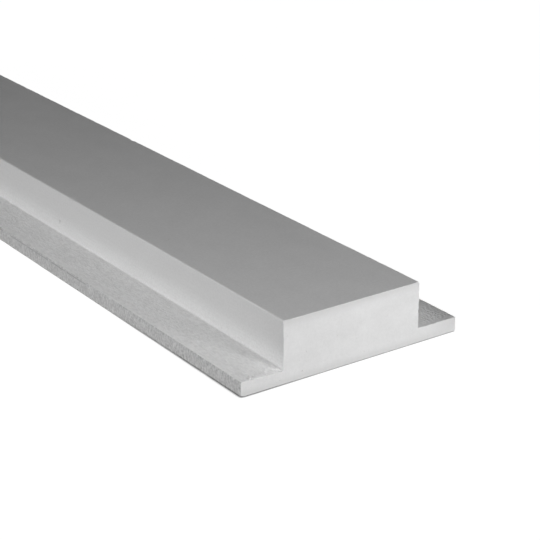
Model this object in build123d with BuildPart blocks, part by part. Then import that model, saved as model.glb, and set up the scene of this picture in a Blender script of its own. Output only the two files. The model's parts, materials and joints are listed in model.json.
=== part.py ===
from build123d import *
import os

# A straight length of T-section moulding, milled from one strip of foamed PVC sheet.
# The raised face is the sheet's own skin. A cutter has run a rabbet down each side of it,
# which leaves a thin flange along the back, where the edge of a panel lies.
# Width runs along X, length along Y and thickness along Z, all in millimetres.
# The origin is the middle of the back, which lies flat on the floor.

# The strip as it is sold: an eight foot length of one inch sheet.
stock_length = 2438.4
stock_thickness = 25.4

# The section: a 2 1/2 inch face, and a 3/4 inch flange on each side of it.
# The flange is what is left under a 3/4 inch panel and its clearance.
face_width = 63.5
flange_width = 19.05
flange_thickness = 5.95

# The edges. The face has a softer arris than the flange, because its skin scuffs round,
# and the root of the rabbet has the radius of the cutter's tip.
back_arris_radius = 0.35
flange_arris_radius = 0.3
rabbet_root_radius = 0.5
face_arris_radius = 0.45

half_face = face_width / 2
half_width = half_face + flange_width

# The corners of the section's right half, from the back up to the face, and their radii.
# The left half has the same ones in the opposite order, so the outline runs once round.
right_corners = [
    (half_width, 0),
    (half_width, flange_thickness),
    (half_face, flange_thickness),
    (half_face, stock_thickness),
]
right_radii = [
    back_arris_radius,
    flange_arris_radius,
    rabbet_root_radius,
    face_arris_radius,
]
left_corners = [(-across, up) for across, up in reversed(right_corners)]
left_radii = list(reversed(right_radii))

# The strip: its section drawn out along the length, half of it each way from the origin.
with BuildPart() as moulding:
    with BuildSketch(Plane.XZ) as section:
        with BuildLine():
            FilletPolyline(
                *right_corners,
                *left_corners,
                radius=right_radii + left_radii,
                close=True,
            )
        make_face()
    extrude(amount=stock_length / 2, both=True)

moulding.part.label = "moulding"

os.makedirs("parts", exist_ok=True)
export_step(moulding.part, "parts/moulding.step")

print(f"section {2 * half_width:.2f} x {stock_thickness:.2f} mm, {section.sketch.area:.1f} mm2")
print(f"faces {len(moulding.faces())}, volume {moulding.part.volume:.0f} mm3")
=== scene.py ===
# %% [markdown]
# This lesson dresses one straight length of T-section moulding, a trim that covers the joint
# between two panels. The real strip is foamed PVC: a white plastic full of fine closed cells,
# made as a wide sheet with a smooth skin on both sides. The maker rips the sheet into strips
# and mills a rabbet down each side, so one solid piece shows four kinds of surface.
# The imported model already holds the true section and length, so the lesson starts from it.

import json
import math
import random

import bmesh
import bpy
from mathutils import Matrix, Vector, bvhtree, kdtree, noise


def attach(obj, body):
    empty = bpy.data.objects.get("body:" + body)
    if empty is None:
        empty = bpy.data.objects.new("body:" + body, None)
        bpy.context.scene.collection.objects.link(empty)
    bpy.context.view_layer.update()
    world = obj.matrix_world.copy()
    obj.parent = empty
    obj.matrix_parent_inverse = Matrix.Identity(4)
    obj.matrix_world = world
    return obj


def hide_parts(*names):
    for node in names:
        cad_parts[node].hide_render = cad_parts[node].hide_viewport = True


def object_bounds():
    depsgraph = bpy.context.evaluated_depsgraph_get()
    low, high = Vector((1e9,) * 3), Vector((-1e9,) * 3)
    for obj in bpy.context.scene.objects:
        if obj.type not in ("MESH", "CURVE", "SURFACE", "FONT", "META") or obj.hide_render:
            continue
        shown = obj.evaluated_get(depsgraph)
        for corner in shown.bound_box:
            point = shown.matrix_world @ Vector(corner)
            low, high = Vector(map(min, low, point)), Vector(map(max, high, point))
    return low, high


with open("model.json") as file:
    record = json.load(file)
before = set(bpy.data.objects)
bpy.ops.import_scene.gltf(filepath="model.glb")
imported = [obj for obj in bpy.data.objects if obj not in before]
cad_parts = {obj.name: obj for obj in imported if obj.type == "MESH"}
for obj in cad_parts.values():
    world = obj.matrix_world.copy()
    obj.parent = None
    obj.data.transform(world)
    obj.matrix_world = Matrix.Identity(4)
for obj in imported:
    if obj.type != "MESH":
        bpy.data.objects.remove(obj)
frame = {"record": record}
cad_low, cad_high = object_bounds()
print("the solid reaches from", cad_low[:], "to", cad_high[:])

# %% [markdown]
# The marks on the strip are easier to place on a workbench than in the world. On this bench
# the unit is the millimetre, X runs across the strip and Z up, as in the model, and Y starts
# at the end that faces the camera. The section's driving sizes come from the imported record,
# where the mounts give the shoulders and the flanges' lands.

# %% Bench sizes
MM = 0.001
near_end = cad_low.y
strip_length = (cad_high.y - cad_low.y) / MM
half_width = cad_high.x / MM
thickness = cad_high.z / MM

mounts = {mount["name"]: Vector(mount["pos_m"]) / MM for mount in frame["record"]["mounts"]}
half_face = mounts["right_shoulder"].x
flange_thickness = mounts["right_flange_land"].z
print(f"section {2 * half_width:.2f} x {thickness:.2f} mm, face {2 * half_face:.2f} mm wide")

# %% [markdown]
# The picture was taken from the left of the strip and well above it, with a long lens close by.
# The camera comes first, so that every later step can be judged through it. Its place is
# measured from the bottom middle of the near end, and the lens from the picture's perspective.

# %% Camera
camera_place = Vector((-352.82, -451.92, 274.14))
camera_turn = (67.5797, 0.1378, -34.9375)
lens_length = 112.03
sensor_width = 36

camera = bpy.data.objects.new("camera", bpy.data.cameras.new("camera"))
camera.location = camera_place * MM + Vector((0, near_end, 0))
camera.rotation_euler = [math.radians(angle) for angle in camera_turn]
camera.data.sensor_width = sensor_width
camera.data.lens = lens_length
camera.data.clip_start = 0.01
bpy.context.scene.collection.objects.link(camera)
bpy.context.scene.camera = camera
print("camera", round(camera_place.length), "mm from the near end")

# %% [markdown]
# The strip could be one extruded outline with a bevel on its long edges, and that is how it
# starts. Foamed PVC is soft, though: its arrises are a little ragged, its corners are knocked
# and its milled walls wander. Such marks need vertices to move, so the plain strip is then
# cut into rings and columns, close together at the end that is seen best.

# %% Plain strip
back_arris = 0.35
flange_arris = 0.3
rabbet_root = 0.5
face_arris = 0.45
sawn_arris = 0.12
arris_segments = 3

section_corners = [
    (half_width, 0),
    (half_width, flange_thickness),
    (half_face, flange_thickness),
    (half_face, thickness),
]
corner_radii = [back_arris, flange_arris, rabbet_root, face_arris]


def runs_lengthwise(edge):
    """True for an edge that is parallel to the strip."""
    along = edge.verts[1].co - edge.verts[0].co
    return abs(along.y) > 0.999 * along.length


def round_off(bench, edges, radius, segments):
    """Bevels edges with the bevel tool's usual settings."""
    bmesh.ops.bevel(
        bench, geom=edges, offset=radius, offset_type="OFFSET", segments=segments,
        profile=0.5, affect="EDGES", material=-1,
    )


def start_strip():
    """The sharp section, extruded to the strip's length, with each of its edges eased."""
    bench = bmesh.new()
    right = [Vector((across, 0, up)) for across, up in section_corners]
    left = [Vector((-place.x, 0, place.z)) for place in reversed(right)]
    end = bench.faces.new([bench.verts.new(place) for place in right + left])
    grown = bmesh.ops.extrude_face_region(bench, geom=[end])["geom"]
    moved = [item for item in grown if isinstance(item, bmesh.types.BMVert)]
    bmesh.ops.translate(bench, verts=moved, vec=(0, strip_length, 0))
    bmesh.ops.recalc_face_normals(bench, faces=bench.faces)
    for (across, up), radius in zip(section_corners, corner_radii):
        corner = Vector((across, 0, up))
        here = [
            edge for edge in bench.edges
            if runs_lengthwise(edge)
            and (Vector((abs(edge.verts[0].co.x), 0, edge.verts[0].co.z)) - corner).length < 0.01
        ]
        round_off(bench, here, radius, arris_segments)
    round_off(bench, [edge for edge in bench.edges if not runs_lengthwise(edge)], sawn_arris, 1)
    return bench


bench = start_strip()
print("plain strip:", len(bench.faces), "faces")

# %% [markdown]
# A cut with a plane adds a column of edges without moving anything. The columns crowd beside
# each arris, where a dent has to end softly, and there are three under the top arris of the
# flange, where the saw has torn a groove. The same cut, made square to the strip, parts it
# into zones: the sawn ends, the stretch that the picture shows and the rest.

# %% Columns and zones
end_zone = 12
border = 1
seen_zone = 400

upright_columns = [back_arris / 2, back_arris, 0.8, 2.4, 4.2, 4.8, 5.1, 5.4, 7.2, 10, 14, 18, 22, 24.4]
crosswise_columns = [10, 21, 29, 30.8, 32.8, 35, 39, 43.5, 48, 50.0]


def cut(bench, place, normal, faces):
    """Cuts the given faces along a plane."""
    edges = {edge for face in faces for edge in face.edges}
    verts = {vert for face in faces for vert in face.verts}
    bmesh.ops.bisect_plane(
        bench, geom=[*faces, *edges, *verts], dist=0.0001, plane_co=place, plane_no=normal,
    )


for up in upright_columns:
    cut(bench, (0, 0, up), (0, 0, 1), bench.faces[:])
for across in crosswise_columns:
    for side in (-1, 1):
        cut(bench, (side * across, 0, 0), (1, 0, 0), bench.faces[:])
for distance in (end_zone, end_zone + border, seen_zone):
    cut(bench, (0, distance, 0), (0, 1, 0), bench.faces[:])
for distance in (end_zone, end_zone + border):
    cut(bench, (0, strip_length - distance, 0), (0, 1, 0), bench.faces[:])
print("columns and zones:", len(bench.faces), "faces")

# %% [markdown]
# The sawn end and the stretch beside it are the part seen closest, so they get a grid of
# their own, about a pixel wide in the picture. Only the faces of that zone are cut, and a
# grid line is left out where a column already runs. Then the long edges of every zone are
# divided evenly, 1 mm apart where the picture shows the strip and wider where it doesn't. The
# left land beside the end, which carries the finest marks, is subdivided once more.

# %% Grids and rings
fine_cell = 0.6
coarse_cell = 3.0
seen_ring = 1.0
plain_ring = 10.0
fine_patch = (-49.5, -32.6, 7)


def between(bench, low, high):
    """The faces that lie between two distances from the near end."""
    slack = 0.001
    return [
        face for face in bench.faces
        if all(low - slack < vert.co.y < high + slack for vert in face.verts)
    ]


def grid_lines(low, high, cell, taken):
    """Evenly spaced places from low to high, without those that crowd one already taken."""
    count = round((high - low) / cell)
    places = [low + (high - low) * step / count for step in range(1, count)]
    return [place for place in places if all(abs(place - old) > cell / 3 for old in taken)]


def grid_end(bench, low, high, cell):
    """Cuts the zone between two distances, and the sawn end beside it, into small cells."""
    taken_up = [*upright_columns, flange_thickness, thickness]
    taken_across = [side * place for place in [*crosswise_columns, half_face] for side in (-1, 1)]
    for up in grid_lines(0, thickness, cell, taken_up):
        cut(bench, (0, 0, up), (0, 0, 1), between(bench, low, high))
    for across in grid_lines(-half_width, half_width, cell, taken_across):
        cut(bench, (across, 0, 0), (1, 0, 0), between(bench, low, high))


def divide_rings(bench, low, high, spacing):
    """Divides the long edges between two distances into rings."""
    long_edges = {
        edge for face in between(bench, low, high) for edge in face.edges
        if runs_lengthwise(edge) and edge.calc_length() > 2 * spacing
    }
    cuts = round((high - low) / spacing) - 1
    bmesh.ops.subdivide_edges(bench, edges=list(long_edges), cuts=cuts, use_grid_fill=True)


def refine_land(bench):
    """Divides the left land's faces beside the near end into nine each."""
    across_low, across_high, depth = fine_patch
    middles = [(face, face.calc_center_median()) for face in bench.faces]
    land = [
        face for face, middle in middles
        if abs(middle.z - flange_thickness) < 0.01 and across_low < middle.x < across_high
        and middle.y < depth
    ]
    edges = {edge for face in land for edge in face.edges}
    bmesh.ops.subdivide_edges(bench, edges=list(edges), cuts=2, use_grid_fill=True)


far_zone = strip_length - end_zone
grid_end(bench, 0, end_zone, fine_cell)
grid_end(bench, far_zone, strip_length, coarse_cell)
divide_rings(bench, 0, end_zone, fine_cell)
divide_rings(bench, end_zone + border, seen_zone, seen_ring)
divide_rings(bench, seen_zone, far_zone - border, plain_ring)
divide_rings(bench, far_zone, strip_length, coarse_cell)
refine_land(bench)
print("grids and rings:", len(bench.faces), "faces")

# %% [markdown]
# Four kinds of surface meet on the strip, and the sawn ends make a fifth. The sixth is painted shade: along
# the back arris, a third of a millimetre wide, where it stands in for the contact shadow under the strip,
# and along the right flange's top arris, where it takes the front lamp's light off the rounding. A face's
# kind is plain from where it lies and which way it points, so each face is told its kind now, while the
# strip is still true.

# %% Kinds of surface
SKIN, PLANED, MILLED, RIPPED, SAWN, SHADE_PAINTED = range(6)


def kind_of(face):
    """The kind of surface that a face of the plain strip is part of."""
    middle = face.calc_center_median()
    # Faces below this height are painted shade, standing in for the contact shadow along the foot.
    foot_shade_top = back_arris / 2 if abs(face.normal.y) > 0.9 else back_arris
    if middle.z < foot_shade_top and face.normal.z > -0.99:
        return SHADE_PAINTED
    if abs(face.normal.y) > 0.9:
        return SAWN
    # The right flange's top arris is painted shade, which takes the front lamp's light off its rounding.
    if middle.x > half_width - flange_arris and middle.z > flange_thickness - flange_arris:
        return SHADE_PAINTED
    if middle.z > thickness - face_arris or middle.z < back_arris:
        return SKIN
    if abs(middle.x) > half_width - flange_arris:
        return RIPPED
    return PLANED if abs(face.normal.x) > 0.7 else MILLED


for face in bench.faces:
    face.material_index = kind_of(face)
counts = [sum(face.material_index == kind for face in bench.faces) for kind in range(6)]
print("faces of skin, planed, milled, ripped, sawn, painted_shade:", counts)

# %% [markdown]
# Three corners of the end have been knocked off, as happens when a strip is set down on its
# end. Each is one flat cut: the plane meets the corner's three edges at their own distances,
# what lies outside it is cleared away, and the hole is closed with one new face.

# %% Knocked corners
knocked_corners = [
    ((-half_face, 0, thickness), (4.2, 0.5, 1.5)),
    ((-half_width, 0, 0), (2.2, 1.6, 0.7)),
    ((half_face, 0, thickness), (1.0, 0.6, 0.7)),
]


def knock_corner(bench, corner, reach):
    """Takes a corner off along the plane that meets its edges at these distances."""
    inward = Vector((math.copysign(1, -corner[0]), 1, 1 if corner[2] == 0 else -1))
    normal = Vector([-sign / distance for sign, distance in zip(inward, reach)])
    place = Vector(corner) + Vector((inward.x * reach[0], 0, 0))
    faces = between(bench, 0, end_zone)
    edges = {edge for face in faces for edge in face.edges}
    verts = {vert for face in faces for vert in face.verts}
    made = bmesh.ops.bisect_plane(
        bench, geom=[*faces, *edges, *verts], dist=0.0001, plane_co=place, plane_no=normal,
        clear_outer=True,
    )
    rim = [item for item in made["geom_cut"] if isinstance(item, bmesh.types.BMEdge)]
    lid = bmesh.ops.contextual_create(bench, geom=rim)["faces"]
    for face in lid:
        face.material_index = SAWN
    return len(lid)


print("corners closed:", [knock_corner(bench, *knock) for knock in knocked_corners])
bmesh.ops.recalc_face_normals(bench, faces=bench.faces)

# %% [markdown]
# The milled walls wander a little, because a long soft strip bows as it is fed past the
# cutter. Each wall gets a slow wave along its length that fades out over the next few
# millimetres of face and land. Blender's noise gives such a wave without any table, and the
# same one on every run. The left wall also has one clear bow, where the strip came off the
# fence for a quarter of a metre: a single hump of a cosine.

# %% Wandering walls
wall_wander = 0.08
wander_length = 70
wander_fade = 3.0
wander_depth = 2.5
bow_out = 0.62
bow_start = 85
bow_length = 270


def slow_wave(distance, length, seed):
    """A smooth random wave along the strip, between about -1 and 1."""
    return 2 * noise.noise(Vector((distance / length, seed, 0.5)))


def bow(distance):
    """How far the left wall stands out of true at a distance from the near end."""
    share = min(max((distance - bow_start) / bow_length, 0), 1)
    return bow_out * (1 - math.cos(2 * math.pi * share)) / 2


def bend_walls(bench):
    """Moves each wall in and out by its wave, and the left one by its bow."""
    for vert in bench.verts:
        side = math.copysign(1, vert.co.x)
        fade = max(0, 1 - abs(abs(vert.co.x) - half_face) / wander_fade)
        rise = min(max((vert.co.z - flange_thickness) / wander_depth + 1, 0), 1)
        out = wall_wander * slow_wave(vert.co.y, wander_length, side * 7)
        if side < 0:
            out += bow(vert.co.y)
        vert.co.x += side * fade * rise * out


bend_walls(bench)

# %% [markdown]
# Every arris is frayed where cells have broken away. A fray eats into the arris only, by up
# to a tenth or two of a millimetre, and its depth changes from one ring to the next. The left
# flange's top arris is the worst, and the back's and the right flange's are the best. The
# near end's upright arrises are frayed in the same way, up their height.

# %% Frayed arrises
frayed_arrises = [
    ((-half_width, 0), 1, 0.05, 2.3),
    ((half_width, 0), 1, 0.05, 2.3),
    ((-half_width, flange_thickness), -1, 0.11, 1.9),
    ((half_width, flange_thickness), -1, 0.05, 1.9),
    ((-half_face, thickness), -1, 0.07, 3.1),
    ((half_face, thickness), -1, 0.07, 2.7),
]
frayed_uprights = [(-half_width, 1, 0.1), (-half_face, 7, 0.16), (half_face, 7, 0.16), (half_width, 1, 0.04)]
fray_reach = 1.0
upright_length = 1.6


def fray(bench, corner, upward, depth, length):
    """Eats into a long arris: inwards, and up or down."""
    side = math.copysign(1, corner[0])
    for vert in bench.verts:
        share = 1 - Vector((vert.co.x - corner[0], vert.co.z - corner[1])).length / fray_reach
        if share > 0:
            coarse = max(0, slow_wave(vert.co.y, 4 * length, corner[0] + corner[1]))
            fine = max(0, slow_wave(vert.co.y, length, corner[0] - corner[1]))
            bite = depth * share * (0.6 * coarse + 0.8 * fine)
            vert.co.x -= side * bite
            vert.co.z += upward * bite


def fray_upright(bench, across, low, depth):
    """Eats into one of the near end's upright arrises, above a height."""
    side = math.copysign(1, across)
    for vert in bench.verts:
        share = 1 - Vector((vert.co.x - across, vert.co.y)).length / fray_reach
        if share > 0 and vert.co.z > low:
            bite = depth * share * max(0, slow_wave(vert.co.z, upright_length, across))
            vert.co.x -= side * bite
            vert.co.y += bite


for arris in frayed_arrises:
    fray(bench, *arris)
for arris in frayed_uprights:
    fray_upright(bench, *arris)

# %% [markdown]
# The saw tore a ragged groove into the left edge, just under the flange's top arris. It comes and goes along
# the strip and is deepest between 127 and 136 mm from the end. The column of vertices that was cut there for
# it is pushed in, ring by ring, by its own random depth. Where it is deep, its faces take the painted shade
# of the back arris, which stands in for the groove's own shadow.

# %% Torn groove
groove_height = 5.1
groove_depth = 0.4
groove_stretches = [(90, 112, 0.15), (113, 144, 1.6), (139, 190, 0.3), (178, 225, 0.45)]
shaded_share = 0.15
tear_random = random.Random(12)


def tear_groove(bench):
    """Pushes the groove's column inwards along its stretches."""
    column = [
        vert for vert in bench.verts
        if vert.co.x < 0.2 - half_width and abs(vert.co.z - groove_height) < 0.01
    ]
    for vert in sorted(column, key=lambda vert: vert.co.y):
        for start, stop, share in groove_stretches:
            if start < vert.co.y < stop:
                taper = share * math.sin(math.pi * (vert.co.y - start) / (stop - start))
                vert.co.x += groove_depth * taper * tear_random.uniform(0.85, 1.0)
                vert.co.z += tear_random.uniform(-0.04, 0.04)
                # Where the groove is deep, its faces get painted shade for the groove's shadow.
                for face in vert.link_faces if taper > shaded_share else []:
                    face.material_index = SHADE_PAINTED
                break


tear_groove(bench)

# %% [markdown]
# Chips and bruises are pressed in with a soft brush, much as a thumb dents clay: what lies
# within an egg-shaped reach moves the same way, most at its middle and not at all at its rim.
# A kd-tree finds those vertices quickly. Foam that is pushed aside leaves a low burr, which is a
# stroke the other way. The chip beside the foot of the wall has a clear rim, so it is lowered
# by a rule of its own: the land drops away inside the rim, down a scarp.

# %% Chips and bruises
chip_rim = [
    (-39.1, 1.4), (-38.7, 2.3), (-38.1, 3.1), (-37.3, 3.9), (-36.4, 4.5), (-35.4, 4.9), (-34.7, 4.2),
    (-34.0, 3.3), (-33.3, 2.5),
]
chip_depth = 0.22
chip_scarp = 0.7
raised_cells = [(-46.8, 0.2), (-46.5, 0.5), (-46.2, 0.8), (-45.9, 1.1), (-45.6, 1.4)]
torn_cells = [(-46.7, 2.1), (-45.6, 0.6), (-45.2, 3.2), (-43.8, 2.4)]
strokes = [
    ((-38.0, 0, 5.95), (12, 11, 3), (0, 0, -0.25)),
    ((-33.2, 0, 5.95), (3.8, 2.8, 1.5), (0, 0, -0.4)),
    ((-43.0, 0, 5.95), (5.5, 0.9, 1.0), (0, 0, -0.12)),
    *[((across, along, 5.95), (0.4, 0.5, 0.6), (0, 0, 0.17)) for across, along in raised_cells],
    *[((across, along, 5.95), (0.42, 0.55, 0.6), (0, 0, -0.5)) for across, along in torn_cells],
    ((-50.8, 60.0, 5.95), (0.8, 1.6, 0.8), (0.25, 0, -0.25)),
    ((-31.75, 158.2, 25.4), (1.2, 3.0, 1.2), (0.28, 0, -0.22)),
    ((31.75, 214.0, 25.4), (1.0, 2.5, 1.0), (-0.2, 0, -0.2)),
]


def press(bench, tree, centre, reach, push):
    """Moves what lies within an egg-shaped reach of a place."""
    verts = bench.verts
    for place, index, _ in tree.find_range(centre, max(reach)):
        away = [(here - middle) / size for here, middle, size in zip(place, centre, reach)]
        share = max(0, 1 - sum(step * step for step in away)) ** 2
        verts[index].co += share * Vector(push)


def inside_chip(place):
    """How far a place on the land lies inside the chip's rim, and 0 where it is outside."""
    across, along = place.x, place.y
    nearest = 0
    for (left, low), (right, high) in zip(chip_rim, chip_rim[1:]):
        rim = low + (high - low) * (across - left) / (right - left)
        if left <= across < right and along < rim:
            nearest = chip_scarp
    for (left, low), (right, high) in zip(chip_rim, chip_rim[1:]):
        start, way = Vector((left, low)), Vector((right - left, high - low))
        step = Vector((across, along)) - start
        share = min(max(step.dot(way) / way.length_squared, 0), 1)
        nearest = min(nearest, (step - share * way).length)
    return nearest


def drop_chip(bench):
    """Lowers the land inside the chip's rim, with a soft scarp below the rim."""
    for vert in bench.verts:
        if vert.co.y < fine_patch[2] and abs(vert.co.z - flange_thickness) < 0.5 * chip_scarp:
            share = inside_chip(vert.co) / chip_scarp
            vert.co.z -= chip_depth * share * share * (3 - 2 * share)


drop_chip(bench)
bench.verts.ensure_lookup_table()
tree = kdtree.KDTree(len(bench.verts))
for index, vert in enumerate(bench.verts):
    tree.insert(vert.co, index)
tree.balance()
for stroke in strokes:
    press(bench, tree, *stroke)
print("pressed", len(strokes), "times")

# %% [markdown]
# A cell that the saw or the cutter opened leaves a pore, about half a millimetre wide. On the
# face, where the light comes in low, the far wall of such a pore shows as a light fleck, and
# on the other surfaces it is a dark dot. Each pore is made from one face of the strip: the
# face is inset, its inner edges are halved, its eight corners are drawn into a ragged round
# mouth, and the middle is pushed in.

# %% Open pores
seen_pores = [
    ((-23.5, 0, 3.2), 0.31, 0.18),
    ((-8.0, 0, 17.9), 0.18, 0.15),
    ((-13.7, 52.3, 25.4), 0.3, 0.3),
    ((-22.9, 93.0, 25.4), 0.4, 0.45),
    ((-31.75, 169.7, 12.1), 0.46, 0.18),
    ((-50.8, 145.5, 0.58), 0.2, 0.4),
]
scattered_pores = {MILLED: 90, RIPPED: 70, SAWN: 14}
pore_inset = 0.02
pore_floor = 0.6
pore_random = random.Random(31)


def open_mouth(face, place, radius):
    """Draws the corners of an inset face into a ragged round mouth about a place on it."""
    centre = face.calc_center_median()
    normal = face.normal.copy()
    place = place - normal * (place - centre).dot(normal)
    first = (face.verts[0].co - centre).normalized()
    second = normal.cross(first)
    for step, vert in enumerate(face.verts):
        angle = 2 * math.pi * step / len(face.verts)
        reach = radius * pore_random.uniform(0.85, 1.1)
        vert.co = place + reach * (math.cos(angle) * first + math.sin(angle) * second)


def sink_floor(face, depth):
    """Pushes a pore's floor in and makes it smaller than the mouth."""
    centre = face.calc_center_median()
    inwards = -depth * face.normal
    for vert in face.verts:
        vert.co = centre + pore_floor * (vert.co - centre) + inwards


def roomy(face):
    """True for a square-cornered face that a pore fits into."""
    return len(face.verts) == 4 and min(edge.calc_length() for edge in face.edges) > 0.55


def open_pores(bench):
    """Opens the pores that the picture shows, and a scatter of finer ones."""
    bench.faces.ensure_lookup_table()
    bench.normal_update()
    skin_tree = bvhtree.BVHTree.FromBMesh(bench)
    chosen = [
        (bench.faces[skin_tree.find_nearest(place)[2]], Vector(place), radius, depth)
        for place, radius, depth in seen_pores
    ]
    taken = {face for face, *_ in chosen}
    for kind, count in scattered_pores.items():
        free = [
            face for face in bench.faces
            if face.material_index == kind and face not in taken and roomy(face)
            and face.calc_center_median().y < seen_zone
        ]
        for face in pore_random.sample(free, count):
            radius = pore_random.uniform(0.1, 0.2)
            chosen.append((face, face.calc_center_median(), radius, 1.5 * radius))
    mouths = [face for face, *_ in chosen]
    bmesh.ops.inset_individual(bench, faces=mouths, thickness=pore_inset)
    rims = {edge for face in mouths for edge in face.edges}
    bmesh.ops.bisect_edges(bench, edges=list(rims), cuts=1)
    for face, place, radius, _ in chosen:
        open_mouth(face, place, radius)
    floors = bmesh.ops.extrude_discrete_faces(bench, faces=mouths)["faces"]
    for face, (_, _, _, depth) in zip(floors, chosen):
        sink_floor(face, depth)
    return len(floors)


print("pores:", open_pores(bench))

# %% [markdown]
# The worn strip now leaves the bench: its mesh is scaled to metres and moved to the model's
# near end, so that the object itself stays at the origin. All faces are shaded smooth, and
# edges that turn by more than 30 degrees are marked sharp, which keeps the eased arrises round
# and the sawn end crisp.

# %% Off the bench
sharp_turn = math.radians(30)


def off_the_bench(bench, name):
    """Makes the worn strip an object of the scene, in metres."""
    bmesh.ops.remove_doubles(bench, verts=bench.verts, dist=0.0005)
    bmesh.ops.recalc_face_normals(bench, faces=bench.faces)
    for face in bench.faces:
        face.smooth = True
    for edge in bench.edges:
        edge.smooth = edge.calc_face_angle(0) < sharp_turn
    bmesh.ops.scale(bench, verts=bench.verts, vec=(MM, MM, MM))
    bmesh.ops.translate(bench, verts=bench.verts, vec=(0, near_end, 0))
    mesh = bpy.data.meshes.new(name)
    bench.to_mesh(mesh)
    strip = bpy.data.objects.new(name, mesh)
    bpy.context.scene.collection.objects.link(strip)
    return strip


open_edges = sum(not edge.is_manifold for edge in bench.edges)
strip = off_the_bench(bench, "moulding_strip")
triangles = sum(len(polygon.vertices) - 2 for polygon in strip.data.polygons)
print(strip.name, "has", triangles, "triangles and", open_edges, "open edges")
bench.free()

# %% [markdown]
# Every finish on the strip is the same plastic, so they share its refractive index and differ
# in how white they look, how matt they are and what relief they carry. Colours are written as
# sRGB hex, as a paint program shows them, and turned to linear once. One small function adds
# any node, sets its values and joins its inputs, which keeps each finish's recipe short.

# %% Colour and node helpers
pvc_ior = 1.53
MIX_SHARE, MIX_FIRST, MIX_SECOND, MIX_RESULT = 0, 6, 7, 2


def paint(hex_colour):
    """An sRGB hex colour as the linear colour that a shader takes."""
    levels = [int(hex_colour[place:place + 2], 16) / 255 for place in (1, 3, 5)]
    linear = [
        level / 12.92 if level <= 0.04045 else ((level + 0.055) / 1.055) ** 2.4
        for level in levels
    ]
    return (*linear, 1)


def add(tree, kind, inputs=None, **settings):
    """Adds a node, sets its settings, and gives each input its value or joins it to a socket."""
    node = tree.nodes.new("ShaderNode" + kind)
    for name, value in settings.items():
        setattr(node, name, value)
    for name, value in (inputs or {}).items():
        if isinstance(value, bpy.types.NodeSocket):
            tree.links.new(value, node.inputs[name])
        else:
            node.inputs[name].default_value = value
    return node

# %% [markdown]
# A finish starts from an empty material with the strip's own coordinates. Relief is a chain
# of Bump nodes, one for each size of mark, with its real depth as the distance. Colour is a
# mix of two near whites along a soft noise, because foam is never one flat white.

# %% Finish helpers
noise_low, noise_high = 0.3, 0.7


def start_finish(name):
    """An empty material's node tree and the strip's own coordinates."""
    material = bpy.data.materials.new(name)
    material.use_nodes = True
    material.node_tree.nodes.clear()
    strip.data.materials.append(material)
    return material.node_tree, add(material.node_tree, "TexCoord").outputs["Object"]


def cells(tree, place, sizes, detail=2.0):
    """A noise whose blotches have these sizes in millimetres along the three axes."""
    scale = [1 / (size * MM) for size in sizes]
    where = add(tree, "Mapping", {"Vector": place, "Scale": scale}).outputs["Vector"]
    inputs = {"Vector": where, "Scale": 1.0, "Detail": detail, "Roughness": 0.55}
    return add(tree, "TexNoise", inputs).outputs["Fac"]


def spread(tree, pattern, low, high):
    """Spreads the middle of a noise over a range of values."""
    inputs = {
        "Value": pattern, "From Min": noise_low, "From Max": noise_high,
        "To Min": low, "To Max": high,
    }
    return add(tree, "MapRange", inputs).outputs["Result"]


def mixed(tree, first, second, share):
    """A value between two others."""
    inputs = {0: share, 2: first, 3: second}
    return add(tree, "Mix", inputs, data_type="FLOAT").outputs[0]


def whites(tree, pattern, light, dark):
    """Mixes two whites along a noise."""
    inputs = {
        MIX_SHARE: spread(tree, pattern, 0.0, 1.0),
        MIX_FIRST: paint(light), MIX_SECOND: paint(dark),
    }
    return add(tree, "Mix", inputs, data_type="RGBA").outputs[MIX_RESULT]


def ramp(tree, value, low, high):
    """Rises softly from 0 to 1 as a length goes from one number of millimetres to another."""
    inputs = {"Value": value, "From Min": low * MM, "From Max": high * MM, "To Min": 0.0, "To Max": 1.0}
    return add(tree, "MapRange", inputs, interpolation_type="SMOOTHSTEP").outputs["Result"]


def stain_and_shade(tree, colour, tone, share):
    """A colour with a darker tone over a share of it: a real tint in some finishes and painted shade in
    others.
    """
    inputs = {MIX_SHARE: share, MIX_FIRST: colour, MIX_SECOND: paint(tone)}
    return add(tree, "Mix", inputs, data_type="RGBA").outputs[MIX_RESULT]


def relief(tree, *layers):
    """A chain of bumps, each from a height pattern and its depth in millimetres."""
    normal = None
    for pattern, depth in layers:
        inputs = {"Height": pattern, "Distance": depth * MM}
        if normal is not None:
            inputs["Normal"] = normal
        normal = add(tree, "Bump", inputs).outputs["Normal"]
    return normal


def finish(tree, colour, roughness, normal, gloss, softness):
    """Joins the parts of a finish to one shader and to the output."""
    inputs = {
        "Base Color": colour, "Roughness": roughness, "Normal": normal, "IOR": pvc_ior,
        "Specular IOR Level": gloss, "Diffuse Roughness": softness,
    }
    shader = add(tree, "BsdfPrincipled", inputs)
    add(tree, "OutputMaterial", {"Surface": shader.outputs["BSDF"]})

# %% [markdown]
# The face and the back are the sheet's own skin, which the extruder's cooled rollers leave
# closed and even. It gives the eye a quiet matt white, a shade greyer than the open foam,
# with the faint swell of orange peel and a few rub marks along the strip.

# %% Rolled skin
def rolled_skin():
    """Foamed PVC's skin: smooth, matt and closed."""
    tree, place = start_finish("foamed_pvc_rolled_skin")
    cloud = cells(tree, place, (14, 22, 14))
    rub = cells(tree, place, (1.2, 45, 1.2), detail=3.0)
    peel = cells(tree, place, (2.4, 3.2, 2.4))
    fine = cells(tree, place, (0.8, 1.1, 0.8))
    normal = relief(tree, (peel, 0.008), (fine, 0.014), (rub, 0.002))
    colour = whites(tree, mixed(tree, cloud, fine, 0.65), "#F6F6F6", "#ECECEC")
    finish(tree, colour, spread(tree, rub, 0.55, 0.66), normal, 0.05, 0.0)


rolled_skin()

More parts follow.
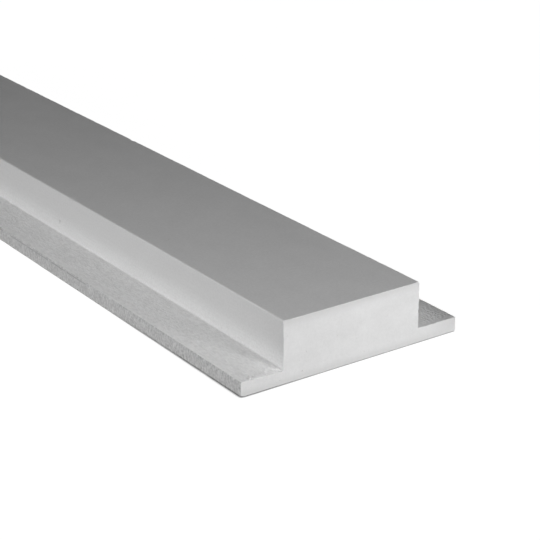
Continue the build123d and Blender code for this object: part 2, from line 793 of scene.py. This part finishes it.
# %% [markdown]
# The rabbet's walls are planed by the side of the cutter. The knives cross the foam's cells
# cleanly, so this is the whitest and smoothest of the cut surfaces. Its marks are drawn out
# along the strip, and its cells, really 0.1 mm wide, are drawn at 0.8 mm so that they show.
# The wall is painted a shade greyer towards its top, as painted shade: its foot gets light reflected from
# the bright land, and its top gets less.

# %% Planed wall
shade_from_height = 6.5
shade_full_height = 17


def planed_wall():
    """Foamed PVC cut by the side of a rotating knife."""
    tree, place = start_finish("foamed_pvc_planed")
    streak = cells(tree, place, (0.8, 18, 0.8), detail=3.0)
    foam = cells(tree, place, (0.8, 0.9, 0.8))
    height = add(tree, "SeparateXYZ", {0: place}).outputs["Z"]
    normal = relief(tree, (streak, 0.012), (foam, 0.08))
    colour = whites(tree, mixed(tree, streak, foam, 0.7), "#FFFFFF", "#EFEFEF")
    # Painted shade: greyer towards the top of the wall, where less light comes back from the land.
    share = mixed(tree, 0.0, ramp(tree, height, shade_from_height, shade_full_height), 0.6)
    colour = stain_and_shade(tree, colour, "#E4E4E4", share)
    finish(tree, colour, 0.8, normal, 0.0, 1.0)


planed_wall()

# %% [markdown]
# The flange's land is milled by the end of the cutter, which drags at the cells and leaves them open, woolly
# and drawn out along the strip. Under the low light this is the liveliest surface: a grain about a
# millimetre wide, over a faint chatter 1.5 mm apart where each knife has passed. The cutter tears most where
# it starts into the end, and evens out after some 150 mm. The right land is cut against the feed, so its
# cells are torn deeper and wider, and its colour is a shade darker near the outer edge.

# %% Milled land
even_from, even_to = 20, 150
darker_from = 41


def milled_land():
    """Foamed PVC cut by the end of a rotating knife, with its cells torn open."""
    tree, place = start_finish("foamed_pvc_milled")
    cloud = cells(tree, place, (6, 14, 6))
    chatter = cells(tree, place, (12, 1.5, 12), detail=0.0)
    foam = cells(tree, place, (0.9, 2.2, 0.9))
    fine = cells(tree, place, (0.45, 1.0, 0.45))
    torn = cells(tree, place, (1.0, 1.7, 1.0), detail=1.0)
    axes = add(tree, "SeparateXYZ", {0: place}).outputs
    even = ramp(tree, axes["Y"], near_end / MM + even_from, near_end / MM + even_to)
    against = ramp(tree, axes["X"], half_face - 1, half_face + 1)
    woolly = mixed(tree, 0.5, fine, mixed(tree, 1.0, 0.375, even))
    deep = mixed(tree, 0.5, torn, against)
    normal = relief(tree, (chatter, 0.05), (foam, 0.24), (woolly, 0.24), (deep, 0.4))
    colour = whites(tree, mixed(tree, cloud, foam, 0.75), "#FDFDFD", "#EAEAEA")
    # The right land is a shade darker towards its outer edge.
    colour = stain_and_shade(tree, colour, "#E2E2E2", ramp(tree, axes["X"], darker_from, half_width))
    finish(tree, colour, 0.9, normal, 0.0, 1.0)


milled_land()

# %% [markdown]
# The flange's outer edges were ripped by a saw, and nothing has cleaned them since. Torn cells hold shadow
# and dust, so the edge is darker than the milled foam beside it, partly as painted shade for that shadow and
# partly as dust. Its grain is also coarser, with short hatches where the teeth came through. The painted
# shade of the back arris below it stands in for the contact shadow where the strip meets the floor, and it
# reaches a millimetre up this edge, so its recipe comes first and is a helper of its own. It is strongest at
# the near left corner and thins out from there, sooner across the end than along the side. A Mapping node
# measures that way from the corner, with 1 where the painted shade has gone.

# %% Ripped edge
foot_shade_across = 38
foot_shade_along = 105
foot_shade_height = 1.0


def foot_shade(tree, place):
    """How strong the painted foot shade is: 1 at the near left corner and 0 far from it."""
    per_side = Vector((1 / foot_shade_across, 1 / foot_shade_along, 0)) / MM
    corner = Vector((-half_width * MM, near_end, 0))
    inputs = {"Vector": place, "Scale": per_side, "Location": -corner * per_side}
    way = add(tree, "Mapping", inputs).outputs["Vector"]
    gone = add(tree, "VectorMath", {0: way}, operation="LENGTH").outputs["Value"]
    left = add(tree, "Math", {0: 1.0, 1: gone}, operation="SUBTRACT", use_clamp=True).outputs[0]
    patch = spread(tree, cells(tree, place, (9, 9, 2)), 0.7, 1.6)
    return add(tree, "Math", {0: left, 1: patch}, operation="MULTIPLY", use_clamp=True).outputs[0]


def ripped_edge():
    """Foamed PVC as a rip saw leaves it: coarse, torn and a little grey."""
    tree, place = start_finish("foamed_pvc_ripped")
    hatch = cells(tree, place, (1.0, 0.9, 2.6), detail=2.0)
    foam = cells(tree, place, (1.0, 1.0, 1.0), detail=3.0)
    normal = relief(tree, (hatch, 0.24), (foam, 0.28))
    # The edge's darker white is partly painted shade for the shadow in its torn cells.
    colour = whites(tree, mixed(tree, hatch, foam, 0.6), "#F8F8F8", "#C0C0C0")
    height = add(tree, "SeparateXYZ", {0: place}).outputs["Z"]
    # Painted shade along the foot for the contact shadow, strongest at the near left corner.
    share = mixed(tree, foot_shade(tree, place), 0.0, ramp(tree, height, 0, foot_shade_height))
    finish(tree, stain_and_shade(tree, colour, "#686868", share), 0.95, normal, 0.0, 1.0)


ripped_edge()

# %% [markdown]
# The ends are crosscut by a fine blade, which leaves them nearly as white as the planed wall. The grain is
# even in both directions, and a blade mark runs up the end every few millimetres, so faint that it only
# shows where the light grazes it. The foam is denser and a shade greyer next to the two skins. The right
# flange's tip is painted a little darker, as painted shade for the front lamp's light falling off towards
# that side.

# %% Sawn end
dense_from = 8.7


def sawn_end():
    """Foamed PVC crosscut by a fine-toothed blade."""
    tree, place = start_finish("foamed_pvc_sawn")
    cloud = cells(tree, place, (9, 9, 7))
    blade = cells(tree, place, (1.6, 30, 30), detail=1.0)
    foam = cells(tree, place, (0.9, 0.9, 0.9))
    normal = relief(tree, (blade, 0.01), (foam, 0.04))
    colour = whites(tree, mixed(tree, cloud, foam, 0.45), "#F1F1F1", "#E8E8E8")
    axes = add(tree, "SeparateXYZ", {0: place}).outputs
    # Painted shade: the right flange's tip is darkened as if the front lamp's light fell off there.
    colour = stain_and_shade(tree, colour, "#E1E1E1", ramp(tree, axes["X"], half_face, half_width))
    from_core = add(tree, "Math", {0: axes["Z"], 1: thickness * MM / 2}, operation="SUBTRACT").outputs[0]
    from_core = add(tree, "Math", {0: from_core}, operation="ABSOLUTE").outputs[0]
    colour = stain_and_shade(tree, colour, "#E4E4E4", ramp(tree, from_core, dense_from, thickness / 2))
    finish(tree, colour, 0.9, normal, 0.0, 1.0)


sawn_end()

# %% [markdown]
# This foam is the same plastic with shade painted into its colour. At the foot it follows the foot shade's
# own law, which gives the strip its fine dark foot line for the contact shadow. Above that it is an even
# thin film of painted shade: in the torn groove for the groove's shadow, and on the right flange's arris,
# where it takes the front lamp's light off the rounding.

# %% Foam with painted shade
shade_film = 0.28


def shade_painted_foam():
    """Foamed PVC with shade painted into its colour."""
    tree, place = start_finish("foamed_pvc_shade_painted")
    foam = cells(tree, place, (0.9, 1.4, 0.9))
    height = add(tree, "SeparateXYZ", {0: place}).outputs["Z"]
    share = mixed(tree, foot_shade(tree, place), shade_film, ramp(tree, height, 1, 2))
    colour = stain_and_shade(tree, whites(tree, foam, "#EAEAEA", "#DADADA"), "#666666", share)
    finish(tree, colour, 0.95, relief(tree, (foam, 0.08)), 0.0, 1.0)


shade_painted_foam()
print("finishes:", [material.name for material in strip.data.materials])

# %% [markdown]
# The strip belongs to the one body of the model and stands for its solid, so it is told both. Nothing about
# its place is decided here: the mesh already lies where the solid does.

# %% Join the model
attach(strip, "root")
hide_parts("moulding")

# %% [markdown]
# The floor is plain and pale. A floor white enough to vanish would throw light back up at the strip from
# everywhere, which the picture doesn't show. So it reflects as a grey floor does, and adds its white only
# where the camera, a reflection or a clear material looks at it. It keeps the strip's own shadow, because
# that is missing reflected light. An Ambient Occlusion node takes the white away within a millimetre or so
# of the strip, where a real white floor is dark in the crack, and that leaves the fine line along the foot
# of the strip. The crack's shade reaches furthest at the near left corner, by the same law as the painted
# shade on the strip's foot.

# %% Floor
floor_size = 60
floor_drop = 0.2
floor_grey = "#626262"
floor_glow = 0.985
crack_reach = 0.5
corner_reach = 0.9


def seen_directly(tree):
    """1 where the camera, a reflection or a clear material looks, and 0 for other light."""
    rays = add(tree, "LightPath").outputs
    looks = add(tree, "Math", {0: rays["Is Camera Ray"], 1: rays["Is Glossy Ray"]}, operation="ADD")
    inputs = {0: looks.outputs[0], 1: rays["Is Transmission Ray"]}
    return add(tree, "Math", inputs, operation="ADD", use_clamp=True).outputs[0]


def studio_floor():
    """A wide pale floor just under the strip."""
    plane = bmesh.new()
    bmesh.ops.create_grid(plane, x_segments=1, y_segments=1, size=floor_size / 2)
    bmesh.ops.translate(plane, verts=plane.verts, vec=(0, 0, cad_low.z - floor_drop * MM))
    mesh = bpy.data.meshes.new("studio_floor")
    plane.to_mesh(mesh)
    plane.free()
    floor = bpy.data.objects.new("studio_floor", mesh)
    bpy.context.scene.collection.objects.link(floor)
    material = bpy.data.materials.new("matt_floor_paint")
    material.use_nodes = True
    tree = material.node_tree
    tree.nodes.clear()
    matt = add(tree, "BsdfDiffuse", {"Color": paint(floor_grey)})
    place = add(tree, "TexCoord").outputs["Object"]
    # The crack's shade reaches furthest near the left corner, by the foot shade's law.
    reach = mixed(tree, crack_reach * MM, corner_reach * MM, foot_shade(tree, place))
    crack = add(tree, "AmbientOcclusion", {"Distance": reach}, samples=16)
    power = add(tree, "Math", {0: seen_directly(tree), 1: floor_glow}, operation="MULTIPLY")
    glow = add(tree, "Emission", {"Color": crack.outputs["Color"], "Strength": power.outputs[0]})
    both = add(tree, "AddShader", {0: matt.outputs[0], 1: glow.outputs[0]})
    add(tree, "OutputMaterial", {"Surface": both.outputs[0]})
    mesh.materials.append(material)
    return floor


studio_floor()

# %% [markdown]
# A studio wall would be one more thing to build, so the world stands in for it: white where
# it is looked at, and dim as a light, just enough that the side away from the lamps still
# shows its shape.

# %% World
room_light = 0.03


def studio_world():
    """White to look at, and a dim even light from all round."""
    world = bpy.data.worlds.new("studio_world")
    bpy.context.scene.world = world
    world.use_nodes = True
    tree = world.node_tree
    inputs = {0: seen_directly(tree), 1: 1 - room_light, 2: room_light}
    strength = add(tree, "Math", inputs, operation="MULTIPLY_ADD").outputs[0]
    tree.nodes["Background"].inputs["Color"].default_value = paint("#FFFFFF")
    tree.links.new(strength, tree.nodes["Background"].inputs["Strength"])


studio_world()

# %% [markdown]
# Two soft lamps make most of the picture's light. One stands low in front of the end, a
# little to the right: it makes the end the brightest face and throws the block's shadow over
# the left flange. The other is a broad one at the left, which lights the walls evenly along
# the strip. Weaker ones fill in, and one very low lamp lights the right side without reaching
# the face. A lamp's place is given as a photographer would say it: how far along the strip it is
# aimed, how far it is turned round that spot from the front, how high it stands and how far off.
# The stretch behind the picture's edge has two long softboxes of its own and a lamp at its end.
# A narrow spread, which a grid gives a real softbox, keeps their light off the near stretch.

# %% Lamps
aim_height = 12
lamp_plan = {
    "front_low": (0, 12, 3, 0.6, 0.12, 2.967),
    "front_fill": (100, 15, 24, 0.5, 0.16, 0.153),
    "end_top": (0, 0, 60, 0.3, 0.12, 0.0893),
    "left_broad": (100, -90, 15, 1.0, 0.5, 3.06),
    "left_high": (100, -90, 40, 0.5, 0.2, 0.0667),
    "left_near": (0, -90, 25, 0.4, 0.15, 0.282),
    "right_low": (350, 90, 3, 1.0, 0.1, 2.8),
    "far_left": (1640, -90, 32, 0.9, 0.25, 0.88),
    "far_right": (1640, 90, 32, 0.9, 0.25, 0.88),
    "far_end": (strip_length, 170, 12, 0.6, 0.12, 3.5),
}
softboxes = ["far_left", "far_right"]
softbox_length = 2.1
softbox_spread = 30


def soft_lamp(name, along, turn, height, distance, width, watts):
    """A round soft lamp that faces a spot on the strip's middle line."""
    lamp = bpy.data.objects.new(name, bpy.data.lights.new(name, "AREA"))
    turn, height = math.radians(turn), math.radians(height)
    away = Vector((
        math.sin(turn) * math.cos(height), -math.cos(turn) * math.cos(height), math.sin(height),
    ))
    aim = Vector((0, along, aim_height)) * MM + Vector((0, near_end, 0))
    lamp.location = aim + distance * away
    lamp.rotation_euler = away.to_track_quat("Z", "Y").to_euler()
    lamp.data.shape = "DISK"
    lamp.data.size = width
    lamp.data.energy = watts
    lamp.visible_camera = False
    bpy.context.scene.collection.objects.link(lamp)
    return lamp


lamps = {name: soft_lamp(name, *plan) for name, plan in lamp_plan.items()}
for name in softboxes:
    light = lamps[name].data
    light.shape = "RECTANGLE"
    light.size_y = light.size
    light.size = softbox_length
    light.spread = math.radians(softbox_spread)
bpy.context.scene.view_settings.view_transform = "Standard"
